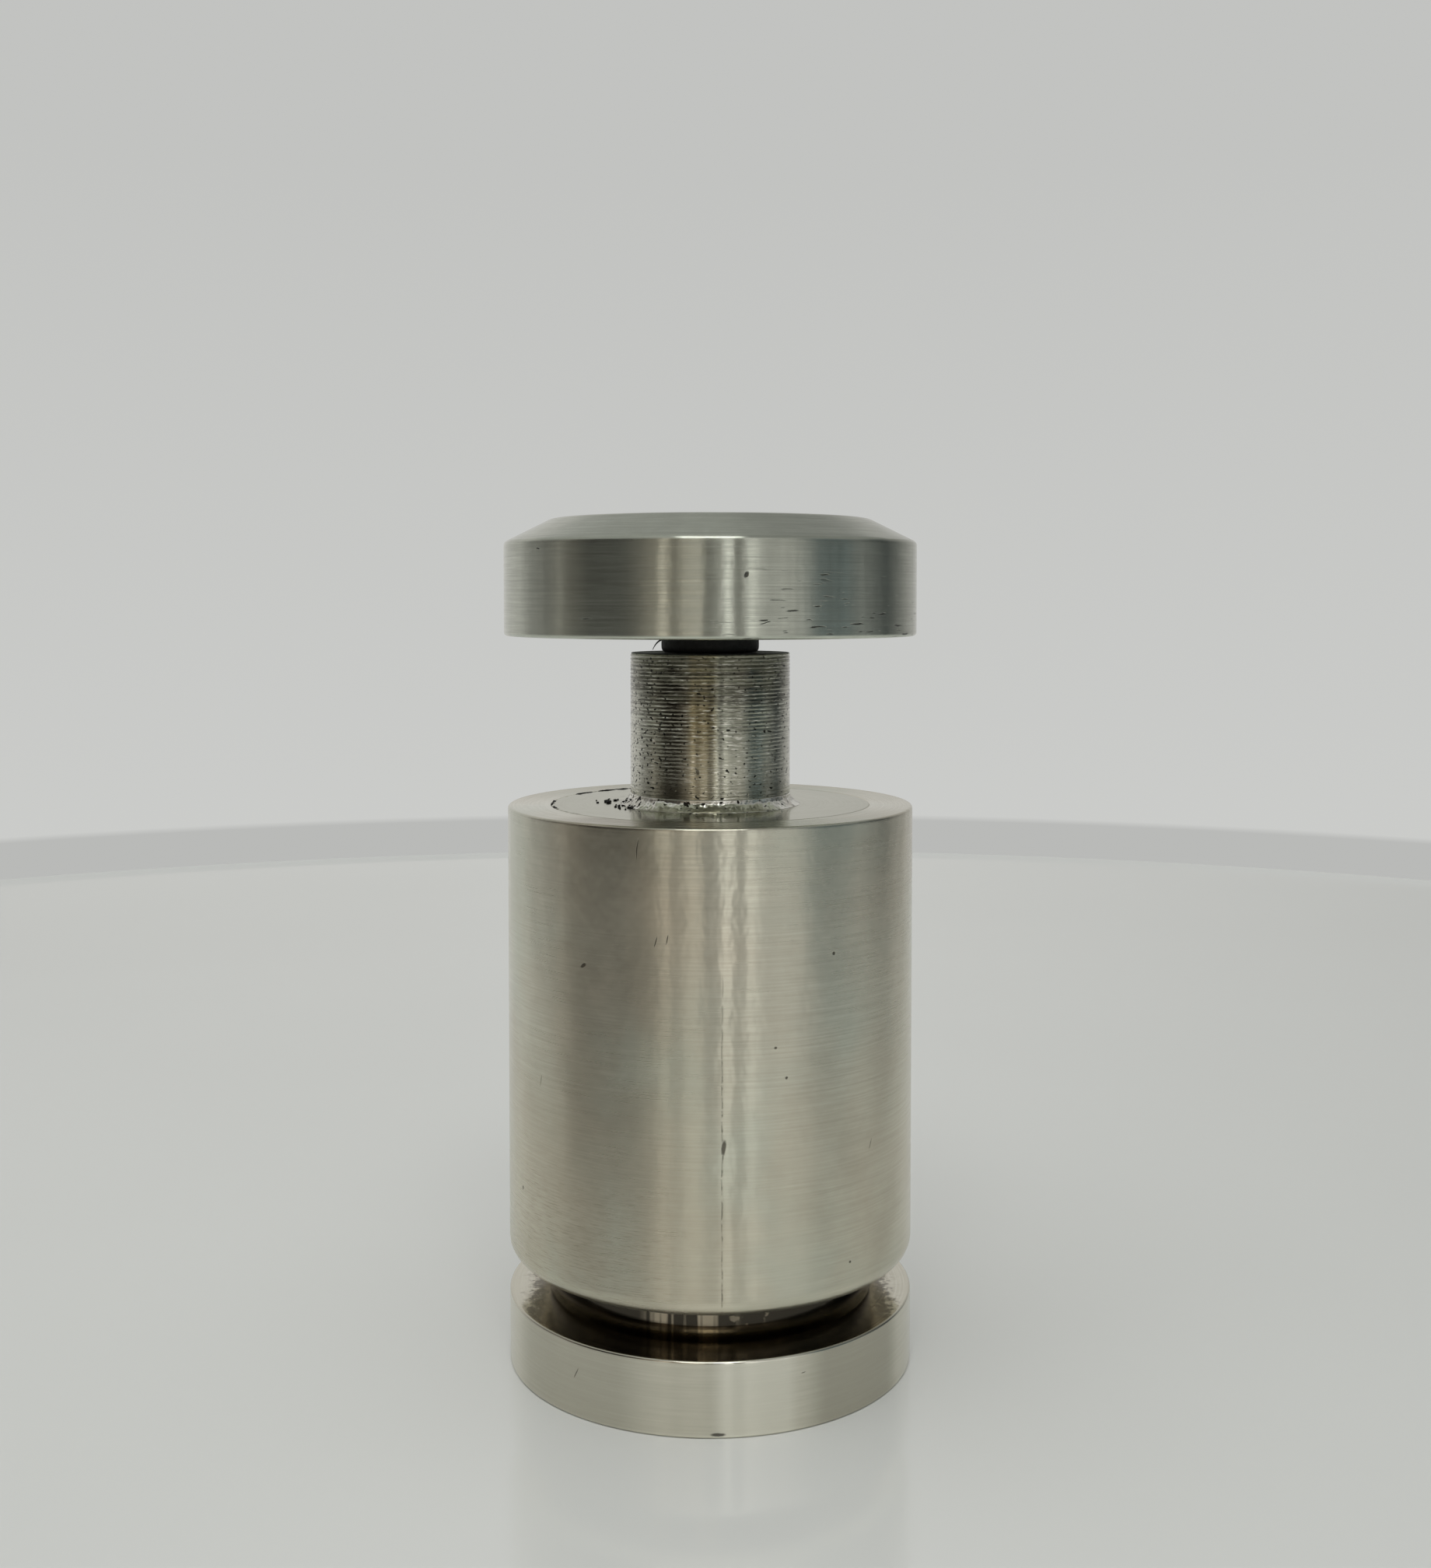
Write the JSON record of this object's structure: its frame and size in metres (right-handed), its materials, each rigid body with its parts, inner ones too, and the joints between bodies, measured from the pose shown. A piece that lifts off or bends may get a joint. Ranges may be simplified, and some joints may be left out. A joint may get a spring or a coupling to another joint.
{
  "type": "glass stand-off",
  "caption": "Round stainless-steel stand-off that clamps a drilled glass panel off a wall: wall disc, screw-adjusted barrel, neck for the glass hole, rubber ring and thick bevelled cap.",
  "frame": {"origin": "centre of the wall face, the flat underside of the wall disc", "axes": "+Z along the stand-off's axis, out from the wall towards the cap; +Y points to the side with the lock screw"},
  "size_m": [0.0508, 0.0508, 0.1038],
  "materials": {
    "disc_steel": "satin, worn bright on the rim",
    "thread_steel": "machined thread, unpolished",
    "black_rubber": "matt black",
    "barrel_steel": "satin, brushed round",
    "plug_steel": "faced on a lathe",
    "turned_steel": "rough turned",
    "weld_steel": "bare weld, pitted",
    "screw_steel": "machined",
    "cap_steel": "satin, brushed round"
  },
  "bodies": {
    "wall_base": {"wall_disc": "disc_steel", "threaded_spigot": "thread_steel"},
    "barrel_seal": {"barrel_o_ring": "black_rubber"},
    "barrel": {"barrel_tube": "barrel_steel", "front_plug": "plug_steel", "neck_post": "turned_steel", "neck_weld": "weld_steel", "lock_screw": "screw_steel"},
    "cap_seal": {"cap_o_ring": "black_rubber"},
    "cap": {"cap_disc": "cap_steel", "cap_stud": "thread_steel"}
  },
  "joints": [
    {"name": "barrel_lift", "type": "slide", "parent": "wall_base", "child": "barrel_seal", "axis": [0, 0, 1], "range_m": [-0.0045, 0.027]},
    {"name": "barrel_turn", "type": "hinge", "parent": "barrel_seal", "child": "barrel", "pos_m": [0, 0, 0.02], "axis": [0, 0, 1], "range_deg": [-1080, 6480]},
    {"name": "cap_lift", "type": "slide", "parent": "barrel", "child": "cap_seal", "axis": [0, 0, 1], "range_m": [0, 0.0225]},
    {"name": "cap_turn", "type": "hinge", "parent": "cap_seal", "child": "cap", "pos_m": [0, 0, 0.0894], "axis": [0, 0, 1], "range_deg": [0, 6480]}
  ],
  "couplings": [
    {"joint": "barrel_lift", "follows": "barrel_turn", "m_per_rad": 0.00023873},
    {"joint": "cap_lift", "follows": "cap_turn", "m_per_rad": 0.00019894}
  ]
}
